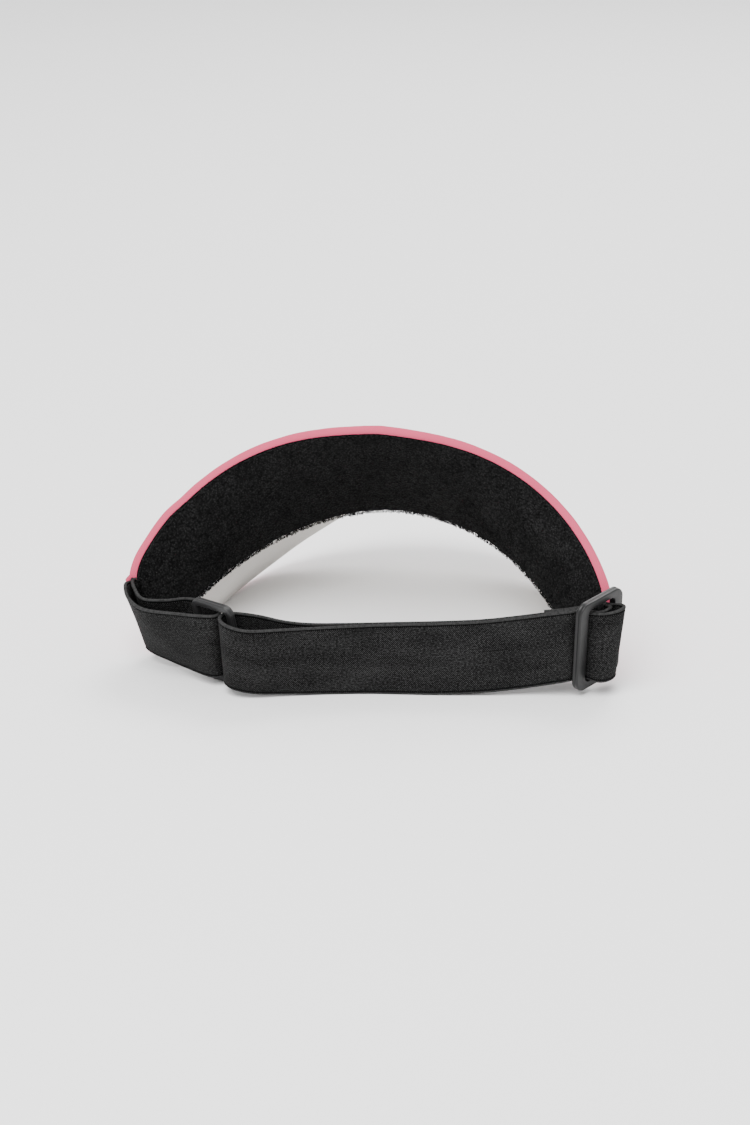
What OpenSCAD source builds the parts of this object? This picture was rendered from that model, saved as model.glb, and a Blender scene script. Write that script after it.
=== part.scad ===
// Sun visor: a curved crown panel with a terry sweatband, an arched brim, and an elastic webbing
// strap at the back that is doubled through a plain ring and a slider buckle.
// +X is the wearer's left, +Y the back of the head, +Z up. The visor stands on the strap's lower
// edge and on the two low sides of the brim.

/* [Crown] */
// Half-width of the ellipse that the crown's lower edge follows, seen from above
crown_half_w = 92.5; // [86:0.5:98]
// Depth of that ellipse from its centre to the front
crown_depth = 103.5; // [96:0.5:110]
// Angle round the ellipse at which each end of the crown is cut
crown_sweep = 70.5; // [68:0.5:72]
// Angle at which the panel reaches its end sizes and lean
end_angle = 69.5; // [68:0.5:71]
// Height of the crown's lower edge above the table at the front
low_front = 45.5; // [40:0.5:50]
// Height of the crown's lower edge above the table at the ends
low_end = 2.2; // [1.8:0.1:3]
// Width of the crown panel at the front
panel_front = 64.5; // [55:0.5:70]
// Width of the crown panel at the ends
panel_end = 39; // [36:0.5:44]
// Lean of the panel at the front, in degrees, negative with its top towards the back
lean_front = -39.5; // [-45:0.5:-25]
// Lean of the panel at the ends, positive with its top outwards
lean_end = 17; // [5:0.5:25]
// Radius that rounds the upper corner at each end
corner_r = 3; // [2:0.5:5]
// Diameter of the rolled top edge, which is also the panel's full thickness
roll_d = 4; // [3.5:0.1:4.5]
// Thickness of the outer fabric
shell_t = 0.8; // [0.6:0.1:0.9]
// How far round the roll the outer fabric reaches, in degrees from its front
roll_reach = 150; // [130:5:160]
// Thickness of the terry band
terry_t = 1.6; // [1.2:0.1:1.8]

/* [Brim] */
// Angle round the crown to which the brim is sewn on each side
brim_reach = 60; // [50:1:62]
// Thickness of the board inside the brim
board_t = 1.6; // [1:0.1:2]
// Thickness of each fabric cover
cover_t = 0.5; // [0.4:0.1:0.7]

/* [Webbing and hardware] */
// Width of the elastic webbing
web_w = 30; // [28:0.5:31]
// Thickness of the elastic webbing
web_t = 1.3; // [1:0.1:1.5]
// Width of the slider across its two slots
slider_w = 26; // [25:0.5:28]
// Height of the slider
slider_h = 39.5; // [39:0.5:41]
// Thickness of the slider's frame
slider_t = 3; // [2.6:0.1:3.2]
// Height of the ring
ring_h = 38.4; // [38:0.2:39]
// Distance between the middles of the ring's two upright bars
ring_pitch = 18.4; // [17:0.1:20]
// Thickness of the ring's bars
ring_bar = 2.9; // [2.5:0.1:3]

/* [Hidden] */

// The crown's front lower edge, seen from the part's origin: this far forward, and to the left.
origin_back = 23;
origin_side = 3.3;
pink = "palevioletred";
black = "dimgray";
off_white = "antiquewhite";

// ---- Curves ----
function unit(v) = v / norm(v);
function mix(a, b, t) = a + (b - a) * t;
// A smooth curve through rows of numbers, as a Catmull-Rom spline; t runs from 0 to len(rows) - 1.
function row(rows, i) = rows[min(max(i, 0), len(rows) - 1)];
function curve(rows, t) =
    let (i = min(floor(t), len(rows) - 2), f = t - i,
         a = row(rows, i - 1), b = row(rows, i), c = row(rows, i + 1), d = row(rows, i + 2))
    b + (c - a) * f / 2 + (2 * a - 5 * b + 4 * c - d) * f * f / 2
      + (3 * b - a - 3 * c + d) * f * f * f / 2;

// ---- Solids swept through a row of closed outlines ----
// rings is a list of outlines with the same number of points, taken clockwise along the sweep.
module sweep(rings) {
    m = len(rings[0]);
    n = len(rings);
    polyhedron(
        points = [for (r = rings) each r],
        faces = concat(
            [[for (j = [0 : m - 1]) j]],
            [for (i = [0 : n - 2]) for (j = [0 : m - 1]) let (k = (j + 1) % m)
                [i * m + j, (i + 1) * m + j, (i + 1) * m + k]],
            [for (i = [0 : n - 2]) for (j = [0 : m - 1]) let (k = (j + 1) % m)
                [i * m + j, (i + 1) * m + k, i * m + k]],
            [[for (j = [m - 1 : -1 : 0]) (n - 1) * m + j]]));
}

// ---- Crown ----
function along(a) = (1 - cos(a)) / (1 - cos(end_angle));
function crown_low(a) = [crown_half_w * sin(a), crown_depth * (1 - cos(a)),
                         mix(low_front, low_end, pow(along(a), 0.94))];
function crown_out(a) = unit([crown_depth * sin(a), -crown_half_w * cos(a), 0]);
function crown_lean(a) = mix(lean_front, lean_end, pow(along(a), 1.07));
// Degrees over which the upper corner is rounded off at each end.
corner_sweep = 2.5;
function corner_drop(a) =
    let (f = max(0, abs(a) - crown_sweep + corner_sweep) / corner_sweep)
    corner_r * (1 - sqrt(max(0, 1 - f * f)));
function panel_w(a) = mix(panel_front, panel_end, pow(along(a), 2.2)) - corner_drop(a);
// A point on the panel: s up its width from the lower edge, d outwards from its middle surface.
function crown_at(a, s, d) =
    let (out = crown_out(a), lean = crown_lean(a))
    crown_low(a) + (out * sin(lean) + [0, 0, cos(lean)]) * s
                 + (out * cos(lean) - [0, 0, sin(lean)]) * d;

// Every layer of the crown is swept through the same angles, and its sides through the same
// heights, so that the layers stay parallel.
crown_steps = 60;
function crown_angles(skip = 0) =
    [for (i = [skip : crown_steps - skip]) crown_sweep * (1 - 2 * i / crown_steps)];
side_steps = 7;
function side(from, to) = [for (i = [0 : side_steps]) mix(from, to, i / side_steps)];

// Outline of the outer fabric: up the front and round the roll.
function shell_outline(w) =
    let (r = roll_d / 2, ri = r - shell_t, top = w - r)
    concat(side([0, r], [top, r]),
           [for (i = [1 : 8]) let (t = roll_reach * i / 8) [top + r * sin(t), r * cos(t)]],
           [for (i = [6 : -1 : 1]) let (t = roll_reach * i / 6) [top + ri * sin(t), ri * cos(t)]],
           side([top, ri], [0, ri]));

module crown_layer(angles, outlines) {
    sweep([for (i = [0 : len(angles) - 1]) [for (p = outlines[i]) crown_at(angles[i], p.x, p.y)]]);
}

// The left end is thicker, because two plies of webbing are sewn in it instead of one.
ply_gap = 0.2;
function swell(a) =
    let (f = min(1, max(0, (a - crown_sweep + 12) / 4)))
    (web_t + ply_gap) * f * f * (3 - 2 * f);

module crown_shell() {
    angles = crown_angles();
    color(pink) to_origin()
        crown_layer(angles, [for (a = angles)
            [for (p = shell_outline(panel_w(a))) [p.x, p.y + swell(a)]]]);
}

// Free width inside the shell, between the outer fabric and the terry band.
layer_gap = 0.2;
terry_top = roll_d / 2 - 0.4;
terry_in = roll_d / 2 - terry_t;
function strip(s0, s1, d0, d1) = concat(side([s0, d1], [s1, d1]), side([s1, d0], [s0, d0]));

module crown_stiffener() {
    angles = crown_angles(skip = 5);
    foot = 1.2;
    head = roll_d;
    color("white") to_origin()
        crown_layer(angles, [for (a = angles)
            strip(foot, panel_w(a) - head, layer_gap - terry_in, roll_d / 2 - shell_t - layer_gap)]);
}

module sweatband() {
    hem_front = 1.5;
    hem_end = 4.6;
    angles = crown_angles();
    color(black) to_origin()
        crown_layer(angles, [for (a = angles)
            strip(mix(hem_front, hem_end, along(a)), panel_w(a) - terry_top, -roll_d / 2, -terry_in)]);
}

// ---- Brim ----
// Half of the brim's outer edge, from the middle of the front to the corner at the side.
brim_edge = [[0, -65, 31], [27, -61.5, 26], [49, -50.5, 14.8], [65, -33.5, 5.2], [74.5, -8, 1.4],
             [78, 14, 1.4], [80.5, 34, 5], [83, 48.5, 10]];
function brim_outer(t) =
    let (p = curve(brim_edge, abs(t) * (len(brim_edge) - 1)))
    [sign(t) * p.x, p.y, p.z];
// The brim is sewn to the crown's front, just above its lower edge, across seam_rise of its width
// for each millimetre of the brim's thickness.
seam_foot = 2;
seam_rise = 1.25;
function brim_inner(t, h) =
    crown_at(brim_reach * t, seam_foot + seam_rise * h, roll_d / 2 + 0.3);
function brim_up(t) =
    let (e = 0.01, ahead = brim_outer(t + e) + brim_inner(t + e, 0),
         behind = brim_outer(t - e) + brim_inner(t - e, 0))
    unit(cross(brim_outer(t) - brim_inner(t, 0), ahead - behind));
// A point in the brim: f from the crown, 0, to the outer edge, 1, and h up from its middle surface.
function brim_at(t, f, h) = mix(brim_inner(t, h), brim_outer(t) + brim_up(t) * h, f);

brim_steps = 64;
brim_side = 0.985;
brim_rows = [0, 0.16, 0.32, 0.48, 0.64, 0.8];
module brim_layer(edge, low, high) {
    rows = concat(brim_rows, [edge]);
    last = len(rows) - 1;
    sweep([for (i = [0 : brim_steps]) let (t = brim_side * (2 * i / brim_steps - 1))
        concat([for (k = [0 : last]) brim_at(t, rows[k], high)],
               [for (k = [last : -1 : 0]) brim_at(t, rows[k], low)])]);
}

cover_at = board_t / 2 + layer_gap;
module brim_board() {
    color("whitesmoke") to_origin() brim_layer(0.97, -board_t / 2, board_t / 2);
}
module brim_top_cover() {
    color(pink) to_origin() brim_layer(1, cover_at, cover_at + cover_t);
}
module brim_under_cover() {
    color(off_white) to_origin() brim_layer(1, -cover_at - cover_t, -cover_at);
}

// ---- Stitching ----
thread_d = 0.5;
stitch_gap = 0.15;
// One stitch from a to b, as a short straight bar.
module stitch(a, b) {
    v = b - a;
    translate((a + b) / 2)
        rotate([0, -asin(v.z / norm(v)), atan2(v.y, v.x)])
            cube([norm(v), thread_d, thread_d], center = true);
}
on_face = thread_d / 2 + stitch_gap;

// Row that closes the seam above the brim, on the front of the crown.
module crown_stitching() {
    count = 50;
    up = 6;
    step = 2 * brim_reach / count;
    color(pink) to_origin()
        for (i = [0 : count - 1]) let (a = -brim_reach + step * i)
            stitch(crown_at(a, up, roll_d / 2 + on_face),
                   crown_at(a + step * 0.7, up, roll_d / 2 + on_face));
}

// Row that runs round the brim, just inside its outer edge.
module brim_stitching() {
    count = 60;
    inset = 0.9;
    step = 1.9 / count;
    up = cover_at + cover_t + on_face;
    color(pink) to_origin()
        for (i = [0 : count - 1]) let (t = -0.95 + step * i)
            stitch(brim_at(t, inset, up), brim_at(t + step * 0.7, inset, up));
}

// Row that holds the terry band below the rolled edge.
module sweatband_stitching() {
    count = 50;
    reach = crown_sweep - corner_sweep - 1;
    step = 2 * reach / count;
    below = terry_top + 1;
    color(black) to_origin()
        for (i = [0 : count - 1]) let (a = -reach + step * i, b = a + step * 0.6)
            stitch(crown_at(a, panel_w(a) - below, -roll_d / 2 - on_face),
                   crown_at(b, panel_w(b) - below, -roll_d / 2 - on_face));
}

// Two upright rows across the webbing's sewn end, on the front of the crown.
module end_stitching(side) {
    count = 9;
    pitch = 2.8;
    foot = 7;
    for (a = [crown_sweep - 6, crown_sweep - 3]) for (i = [0 : count - 1])
        stitch(crown_at(side * a, foot + pitch * i, roll_d / 2 + swell(side * a) + on_face),
               crown_at(side * a, foot + pitch * (i + 0.7), roll_d / 2 + swell(side * a) + on_face));
}
module left_end_stitching() {
    color(black) to_origin() end_stitching(1);
}
module right_end_stitching() {
    color(black) to_origin() end_stitching(-1);
}

// ---- Webbing ----
// Each row gives the webbing's lower edge, x, y and z, and how far its upper edge stands off that
// in x and y. The route is a smooth curve through the rows.
function web_rail(rows, t) =
    let (r = curve(rows, t), off = [r[3], r[4]])
    [[r.x, r.y, r.z], [r.x, r.y, r.z] + [off.x, off.y, sqrt(web_w * web_w - off * off)]];
// A point on the webbing: up from its lower edge and out from its middle surface.
function web_at(rows, t, up, out) =
    let (rail = web_rail(rows, t), e = 0.02, last = len(rows) - 1,
         ahead = web_rail(rows, min(t + e, last))[0] - web_rail(rows, max(t - e, 0))[0])
    mix(rail[0], rail[1], up / web_w) + unit(cross(ahead, rail[1] - rail[0])) * out;
// The stretch of a route from row number a to row number b.
module webbing(rows, a, b, per_row = 5) {
    count = round((b - a) * per_row);
    h = web_t / 2;
    sweep([for (i = [0 : count]) let (t = mix(a, b, i / count))
        [web_at(rows, t, 0, h), web_at(rows, t, 0, -h),
         web_at(rows, t, web_w, -h), web_at(rows, t, web_w, h)]]);
}
// A row where the webbing lies in the crown, between the outer fabric and the terry.
web_foot = 4;
sewn_angles = [crown_sweep - 7, crown_sweep - 4.5, crown_sweep - 2, crown_sweep, crown_sweep + 0.6];
function sewn(a, d) =
    let (p = crown_at(a, web_foot, d), q = crown_at(a, web_foot + web_w, d))
    [p.x, p.y, p.z, q.x - p.x, q.y - p.y];
between_layers = (roll_d / 2 - shell_t - terry_in) / 2;
outer_ply = between_layers + web_t + ply_gap;

// Where the slider stands: its middle, the direction across its slots seen from above, how far
// its top leans out, and how far it is turned in its own plane.
slider_at = [-94.7, 75, 22.8];
slider_yaw = 237;
slider_lean = 7;
slider_roll = 5.5;
web_in_slider = 7;
// A webbing row seen from above in the slider's own directions, across its slots and out of its
// face: the first two numbers place the lower edge, and the last two are how far the upper edge
// stands off it.
slider_along = [cos(slider_yaw), sin(slider_yaw)];
slider_face = [sin(slider_yaw), -cos(slider_yaw)];
function slider_row(p) =
    let (q = [slider_at.x, slider_at.y] + slider_along * p[0] + slider_face * p[1],
         off = slider_along * p[2] + slider_face * p[3])
    [q.x, q.y, web_in_slider + sin(slider_roll) * p[0], off.x, off.y];

// The short loop: out of the crown's left end, back and round the ring, and in again behind
// the terry.
short_route = concat(
    [for (a = sewn_angles) sewn(a, outer_ply)],
    [[91, 73.8, 5.7, 7.8, 2.8], [87.2, 77.6, 5.3, 7.4, 9.2], [79, 82.8, 4.8, 6.5, 12],
     [65, 91.8, 4.2, 3, 8.5], [59.4, 94.8, 4, 0.5, 6.8], [56, 94.8, 4, -0.8, 6.2],
     [54.5, 91.6, 4, -0.6, 6], [56.4, 86.5, 4, 0, 5.5], [62, 82, 4, 0.5, 5],
     [70, 79, 4.2, 1, 6], [77, 79.2, 4.6, 2, 8.5], [83.8, 77.4, 5, 4.8, 9.5], [87.6, 73.6, 5.4, 6.8, 5]],
    [for (i = [4 : -1 : 0]) sewn(sewn_angles[i], between_layers)]);

// The strap: from where it is sewn to the tail loop, along to the ring, round its near bar and
// back to the slider, over the slider's middle bar and into the crown's right end.
strap_route = concat(
    [[-63, 82.8, 2.6, 0, -3], [-48, 85.2, 1, 0, -2.8], [-30, 87.7, 0.3, 0, -2],
     [-8, 89.9, 0.1, 0, 0.5], [6, 91.3, 0.1, 0, 2], [18, 92, 0.6, 0, 4], [28, 92, 1.6, 0, 5],
     [38, 90.8, 3, 0, 5.5],
     [46, 91, 3.8, 1, 5.5], [50.6, 93.6, 4, 1, 5], [51.8, 98.6, 4, 0.6, 5],
     [49.8, 103, 3.9, 0, 5.6], [45.5, 105.2, 3.2, -1, 6], [38, 104, 1.8, 0, 5.5],
     [26, 99.8, 0.8, 0, 4], [8, 94.8, 0.1, 0, 2], [-8, 91.8, 0.1, 0, 0.5],
     [-30, 89.5, 0.3, 0, -2], [-48, 87, 1, 0, -2.8], [-63, 84.6, 2.6, 0, -3],
     [-75, 83.2, 4.7, 0, -2], [-84.2, 82.2, 6.6, 0, -0.4]],
    [for (p = [[-6.3, -4.9, -1.1, 1.4], [-4.6, -2.2, -2, 2.4], [-4.6, 0.6, -1.4, 2.2],
               [-4.6, 3.4, -0.1, 1.6], [-3.7, 5.6, 1, 1.2], [-1.6, 6.8, 1.8, 1.4],
               [1.2, 6.9, 2.2, 1.9], [3.8, 5.8, 2.4, 2.6], [5.6, 3.8, 1.8, 3],
               [6.3, 1.6, 0.4, 3.4], [6.5, -0.6, -1.6, 3.8], [6.2, -2.6, -1.8, 3.4],
               [5, -4.8, 0, 3], [1.8, -6.7, 4, 3.6]]) slider_row(p)],
    [for (i = [4 : -1 : 0]) sewn(-sewn_angles[i], between_layers)]);
turn_start = 7;
turn_end = 14;
run_end = 21;
pass_end = 28;

// The sewn end: along behind the strap, round the slider's middle bar and back to the cut end.
tail_route = concat(
    [[-63.3, 82.8, 2.6, 0, -3], [-75, 81.4, 4.7, 0, -2], [-84, 80, 6.4, 0, -0.4]],
    [for (p = [[-6.6, -6.9, -0.4, 1.4], [-4, -4.9, -1.4, 2.4], [-2.7, -2, -2, 3],
               [-1.6, 0.9, -1.6, 3], [0.6, 2.2, -0.8, 2.6], [3.2, 1.8, -0.4, 2.4],
               [4.2, -0.2, -1.5, 2.2], [3.9, -3, -1.4, 2.8], [1.2, -4.8, -1, 3],
               [-3.2, -7, -0.8, 2], [-8.4, -8.8, 0, 0.6]]) slider_row(p)],
    [[-81, 78.7, 5.8, 0, -1.2], [-73.5, 79.6, 4.7, 0, -2.2]]);

// ---- Slider ----
bar_w = 5.1;
middle_w = 3.2;
slot_h = 33;
module cut_corners(w, h, c) {
    polygon([[w - c, -h], [w, c - h], [w, h - c], [w - c, h],
             [c - w, h], [-w, h - c], [-w, c - h], [c - w, -h]]);
}
module slider() {
    middle_t = 2.2;
    outer_cut = 3.4;
    inner_cut = 1.4;
    color(black) to_origin()
        translate(slider_at) rotate([0, 0, slider_yaw]) rotate([90 + slider_lean, 0, 0])
            rotate([0, 0, slider_roll]) union() {
                linear_extrude(slider_t, center = true) difference() {
                    cut_corners(slider_w / 2, slider_h / 2, outer_cut);
                    cut_corners(slider_w / 2 - bar_w, slot_h / 2, inner_cut);
                }
                cube([middle_w, slot_h + 2, middle_t], center = true);
            }
}

// ---- Ring ----
ring_pivot = [60.6, 85.8];
ring_yaw = 151.5;
ring_lean = 14;
ring_foot = ring_bar / 2 * sin(ring_lean);
module rounded(w, h, r) {
    square([w - 2 * r, h], center = true);
    square([w, h - 2 * r], center = true);
    for (x = [-1, 1]) for (y = [-1, 1])
        translate([x * (w / 2 - r), y * (h / 2 - r)]) circle(r, $fn = 48);
}
module ring() {
    w = ring_pitch + ring_bar;
    r = 4;
    color(black) to_origin()
        translate([ring_pivot.x, ring_pivot.y, ring_foot]) rotate([0, 0, ring_yaw])
            rotate([ring_lean, 0, 0]) translate([ring_pitch / 2, 0, ring_h / 2]) rotate([90, 0, 0])
                linear_extrude(ring_bar, center = true) difference() {
                    rounded(w, ring_h, r);
                    rounded(w - 2 * ring_bar, ring_h - 2 * ring_bar, r - ring_bar);
                }
}

// ---- Webbing nodes ----
module short_loop() {
    color(black) to_origin() webbing(short_route, 0, len(short_route) - 1);
}
module strap_inner_run() {
    color(black) to_origin() webbing(strap_route, 0, turn_start);
}
module strap_ring_turn() {
    color(black) to_origin() webbing(strap_route, turn_start, turn_end);
}
module strap_outer_run() {
    color(black) to_origin() webbing(strap_route, turn_end, run_end);
}
module strap_slider_pass() {
    color(black) to_origin() webbing(strap_route, run_end, pass_end);
}
module strap_end_bend() {
    color(black) to_origin() webbing(strap_route, pass_end, len(strap_route) - 1);
}
module strap_tail_loop() {
    color(black) to_origin() webbing(tail_route, 0, len(tail_route) - 1);
}
module tail_stitching() {
    count = 8;
    pitch = 3.4;
    foot = 1.8;
    last = len(tail_route) - 1;
    out = web_t / 2 + on_face;
    color(black) to_origin()
        for (t = [last - 0.3, last - 0.75]) for (i = [0 : count - 1])
            stitch(web_at(tail_route, t, foot + pitch * i, out),
                   web_at(tail_route, t, foot + pitch * (i + 0.7), out));
}

module to_origin() {
    translate([origin_side, -origin_back, 0]) children();
}

crown_shell();
crown_stiffener();
sweatband();
brim_board();
brim_top_cover();
brim_under_cover();
crown_stitching();
brim_stitching();
sweatband_stitching();
left_end_stitching();
right_end_stitching();
short_loop();
ring();
strap_ring_turn();
strap_outer_run();
strap_inner_run();
strap_tail_loop();
tail_stitching();
strap_slider_pass();
strap_end_bend();
slider();
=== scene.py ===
"""Sun visor, dressed for its render: smooth crown fabric with a rolled edge, a looped terry band, a
covered brim and elastic webbing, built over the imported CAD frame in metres."""
import math
import random

import bpy
import numpy as np
from mathutils import Matrix, Vector


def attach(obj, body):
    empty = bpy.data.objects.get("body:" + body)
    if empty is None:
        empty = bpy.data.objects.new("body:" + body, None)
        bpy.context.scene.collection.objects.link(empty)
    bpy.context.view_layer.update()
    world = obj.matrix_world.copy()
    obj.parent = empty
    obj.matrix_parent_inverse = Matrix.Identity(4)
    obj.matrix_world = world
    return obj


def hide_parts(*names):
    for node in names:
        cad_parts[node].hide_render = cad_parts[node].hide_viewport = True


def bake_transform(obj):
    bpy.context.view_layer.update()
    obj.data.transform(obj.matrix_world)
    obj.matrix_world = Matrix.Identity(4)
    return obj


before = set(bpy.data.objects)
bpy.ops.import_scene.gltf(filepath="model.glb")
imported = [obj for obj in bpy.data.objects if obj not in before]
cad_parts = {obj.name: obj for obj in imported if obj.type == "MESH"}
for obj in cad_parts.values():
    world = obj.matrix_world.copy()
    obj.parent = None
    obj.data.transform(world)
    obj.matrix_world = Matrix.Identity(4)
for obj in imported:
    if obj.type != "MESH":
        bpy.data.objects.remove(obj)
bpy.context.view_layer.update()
MM = 0.001

# ---- Sizes shared with the CAD part, in millimetres and degrees ----
ORIGIN = np.array([3.3, -23.0, 0.0])
HALF_W, DEPTH, SWEEP, END = 92.5, 103.5, 70.5, 69.5
LOW_FRONT, LOW_END, PANEL_FRONT, PANEL_END = 45.5, 2.2, 64.5, 39.0
LEAN_FRONT, LEAN_END, CORNER_R, CORNER_SWEEP = -39.5, 17.0, 3.0, 2.5
ROLL, SHELL_T, TERRY_T = 4.0, 0.8, 1.6
BRIM_REACH, BRIM_SIDE, BOARD_T, COVER_T = 60.0, 0.985, 1.6, 0.5
LAYER_GAP = 0.2
COVER_AT = BOARD_T / 2 + LAYER_GAP
WEB_W, WEB_T, PLY_GAP = 30.0, 1.3, 0.2
BRIM_EDGE = np.array([[0, -65, 31], [27, -61.5, 26], [49, -50.5, 14.8], [65, -33.5, 5.2],
                      [74.5, -8, 1.4], [78, 14, 1.4], [80.5, 34, 5], [83, 48.5, 10]], float)


# ---- The part's curves ----
def smooth_curve(rows, t):
    """Point at t, from 0 to len(rows) - 1, on the Catmull-Rom spline through the rows."""
    i = int(min(math.floor(t), len(rows) - 2))
    f = t - i
    a, b, c, d = (rows[min(max(k, 0), len(rows) - 1)] for k in (i - 1, i, i + 1, i + 2))
    return (b + (c - a) * f / 2 + (2 * a - 5 * b + 4 * c - d) * f * f / 2
            + (3 * b - a - 3 * c + d) * f * f * f / 2)


def along(a):
    """How far round a crown angle is, 0 at the front and 1 at the panel's end."""
    return (1 - np.cos(np.radians(a))) / (1 - math.cos(math.radians(END)))


def mix(a, b, t):
    return a + (b - a) * t


def panel_w(a):
    """The crown panel's width at an angle, rounded off at its end corners."""
    f = np.clip((np.abs(a) - SWEEP + CORNER_SWEEP) / CORNER_SWEEP, 0, 1)
    drop = CORNER_R * (1 - np.sqrt(1 - f * f))
    return mix(PANEL_FRONT, PANEL_END, along(a) ** 2.2) - drop


def swell(a):
    """How much further out the fabric stands at the left end, over two plies of webbing."""
    f = np.clip((np.asarray(a, float) - SWEEP + 12) / 4, 0, 1)
    return (WEB_T + PLY_GAP) * f * f * (3 - 2 * f)


def crown_at(a, s, d):
    """Points on the crown: angle a, s up its width, d outwards from its middle surface."""
    a, s, d = np.broadcast_arrays(*(np.asarray(v, float) for v in (a, s, d)))
    r = np.radians(a)
    low = np.stack([HALF_W * np.sin(r), DEPTH * (1 - np.cos(r)),
                    mix(LOW_FRONT, LOW_END, along(a) ** 0.94)], -1)
    out = np.stack([DEPTH * np.sin(r), -HALF_W * np.cos(r), 0 * r], -1)
    out /= np.linalg.norm(out, axis=-1, keepdims=True)
    lean = np.radians(mix(LEAN_FRONT, LEAN_END, along(a) ** 1.07))
    up = np.array([0.0, 0.0, 1.0])
    side = np.sin(lean)[..., None] * out + np.cos(lean)[..., None] * up
    face = np.cos(lean)[..., None] * out - np.sin(lean)[..., None] * up
    return low + side * s[..., None] + face * d[..., None]


def brim_outer(t):
    """The brim's outer edge at t, from -1 to 1 across the brim."""
    p = smooth_curve(BRIM_EDGE, abs(t) * (len(BRIM_EDGE) - 1))
    return np.array([math.copysign(p[0], t) if t else 0.0, p[1], p[2]])


def brim_inner(t, h):
    """The brim's inner edge, along the crown."""
    return crown_at(BRIM_REACH * t, 2 + 1.25 * h, ROLL / 2 + 0.3)


def brim_up(t):
    """Unit direction square to the brim's surface."""
    e = 0.01
    ahead = brim_outer(t + e) + brim_inner(t + e, 0)
    behind = brim_outer(t - e) + brim_inner(t - e, 0)
    v = np.cross(brim_outer(t) - brim_inner(t, 0), ahead - behind)
    return v / np.linalg.norm(v)


def brim_at(t, f, h):
    """Point in the brim: f from the crown, 0, to the outer edge, 1, h up from its middle."""
    return mix(brim_inner(t, h), brim_outer(t) + brim_up(t) * h, f)


def web_rail(rows, t):
    """Lower and upper edge of the webbing at t along a route."""
    r = smooth_curve(rows, t)
    low = r[:3]
    rise = math.sqrt(WEB_W ** 2 - r[3] ** 2 - r[4] ** 2)
    return low, low + np.array([r[3], r[4], rise])


def web_frame(rows, t):
    """Lower edge, upper edge and the outward direction of a webbing route at t."""
    low, high = web_rail(rows, t)
    e, last = 0.02, len(rows) - 1
    ahead = web_rail(rows, min(t + e, last))[0] - web_rail(rows, max(t - e, 0))[0]
    out = np.cross(ahead, high - low)
    return low, high, out / np.linalg.norm(out)


def sewn(a, d, foot=4.0):
    """A route's row where the webbing is sewn flat to the crown."""
    p, q = crown_at(a, foot, d), crown_at(a, foot + WEB_W, d)
    return [*p, q[0] - p[0], q[1] - p[1]]


SEWN_ANGLES = [SWEEP - 7, SWEEP - 4.5, SWEEP - 2, SWEEP, SWEEP + 0.6]
BETWEEN = (ROLL / 2 - SHELL_T - (ROLL / 2 - TERRY_T)) / 2
OUTER_PLY = BETWEEN + WEB_T + PLY_GAP
SLIDER_AT = np.array([-94.7, 75.0, 22.8])
SLIDER_YAW, SLIDER_ROLL = 237.0, 5.5
S_ALONG = np.array([math.cos(math.radians(SLIDER_YAW)), math.sin(math.radians(SLIDER_YAW))])
S_FACE = np.array([S_ALONG[1], -S_ALONG[0]])


def slider_row(p):
    """A route's row given in the slider's own directions: along it and out of its face."""
    q = SLIDER_AT[:2] + S_ALONG * p[0] + S_FACE * p[1]
    off = S_ALONG * p[2] + S_FACE * p[3]
    return [*q, 7 + math.sin(math.radians(SLIDER_ROLL)) * p[0], *off]


SHORT_ROUTE = np.array(
    [sewn(a, OUTER_PLY) for a in SEWN_ANGLES]
    + [[91, 73.8, 5.7, 7.8, 2.8], [87.2, 77.6, 5.3, 7.4, 9.2], [79, 82.8, 4.8, 6.5, 12],
       [65, 91.8, 4.2, 3, 8.5], [59.4, 94.8, 4, 0.5, 6.8], [56, 94.8, 4, -0.8, 6.2],
       [54.5, 91.6, 4, -0.6, 6], [56.4, 86.5, 4, 0, 5.5], [62, 82, 4, 0.5, 5],
       [70, 79, 4.2, 1, 6], [77, 79.2, 4.6, 2, 8.5], [83.8, 77.4, 5, 4.8, 9.5],
       [87.6, 73.6, 5.4, 6.8, 5]]
    + [sewn(a, BETWEEN) for a in reversed(SEWN_ANGLES)])
STRAP_ROUTE = np.array(
    [[-63, 82.8, 2.6, 0, -3], [-48, 85.2, 1, 0, -2.8], [-30, 87.7, 0.3, 0, -2],
     [-8, 89.9, 0.1, 0, 0.5], [6, 91.3, 0.1, 0, 2], [18, 92, 0.6, 0, 4], [28, 92, 1.6, 0, 5],
     [38, 90.8, 3, 0, 5.5],
     [46, 91, 3.8, 1, 5.5], [50.6, 93.6, 4, 1, 5], [51.8, 98.6, 4, 0.6, 5],
     [49.8, 103, 3.9, 0, 5.6], [45.5, 105.2, 3.2, -1, 6], [38, 104, 1.8, 0, 5.5],
     [26, 99.8, 0.8, 0, 4], [8, 94.8, 0.1, 0, 2], [-8, 91.8, 0.1, 0, 0.5],
     [-30, 89.5, 0.3, 0, -2], [-48, 87, 1, 0, -2.8], [-63, 84.6, 2.6, 0, -3],
     [-75, 83.2, 4.7, 0, -2], [-84.2, 82.2, 6.6, 0, -0.4]]
    + [slider_row(p) for p in (
        [-6.3, -4.9, -1.1, 1.4], [-4.6, -2.2, -2, 2.4], [-4.6, 0.6, -1.4, 2.2],
        [-4.6, 3.4, -0.1, 1.6], [-3.7, 5.6, 1, 1.2], [-1.6, 6.8, 1.8, 1.4],
        [1.2, 6.9, 2.2, 1.9], [3.8, 5.8, 2.4, 2.6], [5.6, 3.8, 1.8, 3],
        [6.3, 1.6, 0.4, 3.4], [6.5, -0.6, -1.6, 3.8], [6.2, -2.6, -1.8, 3.4],
        [5, -4.8, 0, 3], [1.8, -6.7, 4, 3.6])]
    + [sewn(-a, BETWEEN) for a in reversed(SEWN_ANGLES)])
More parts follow.
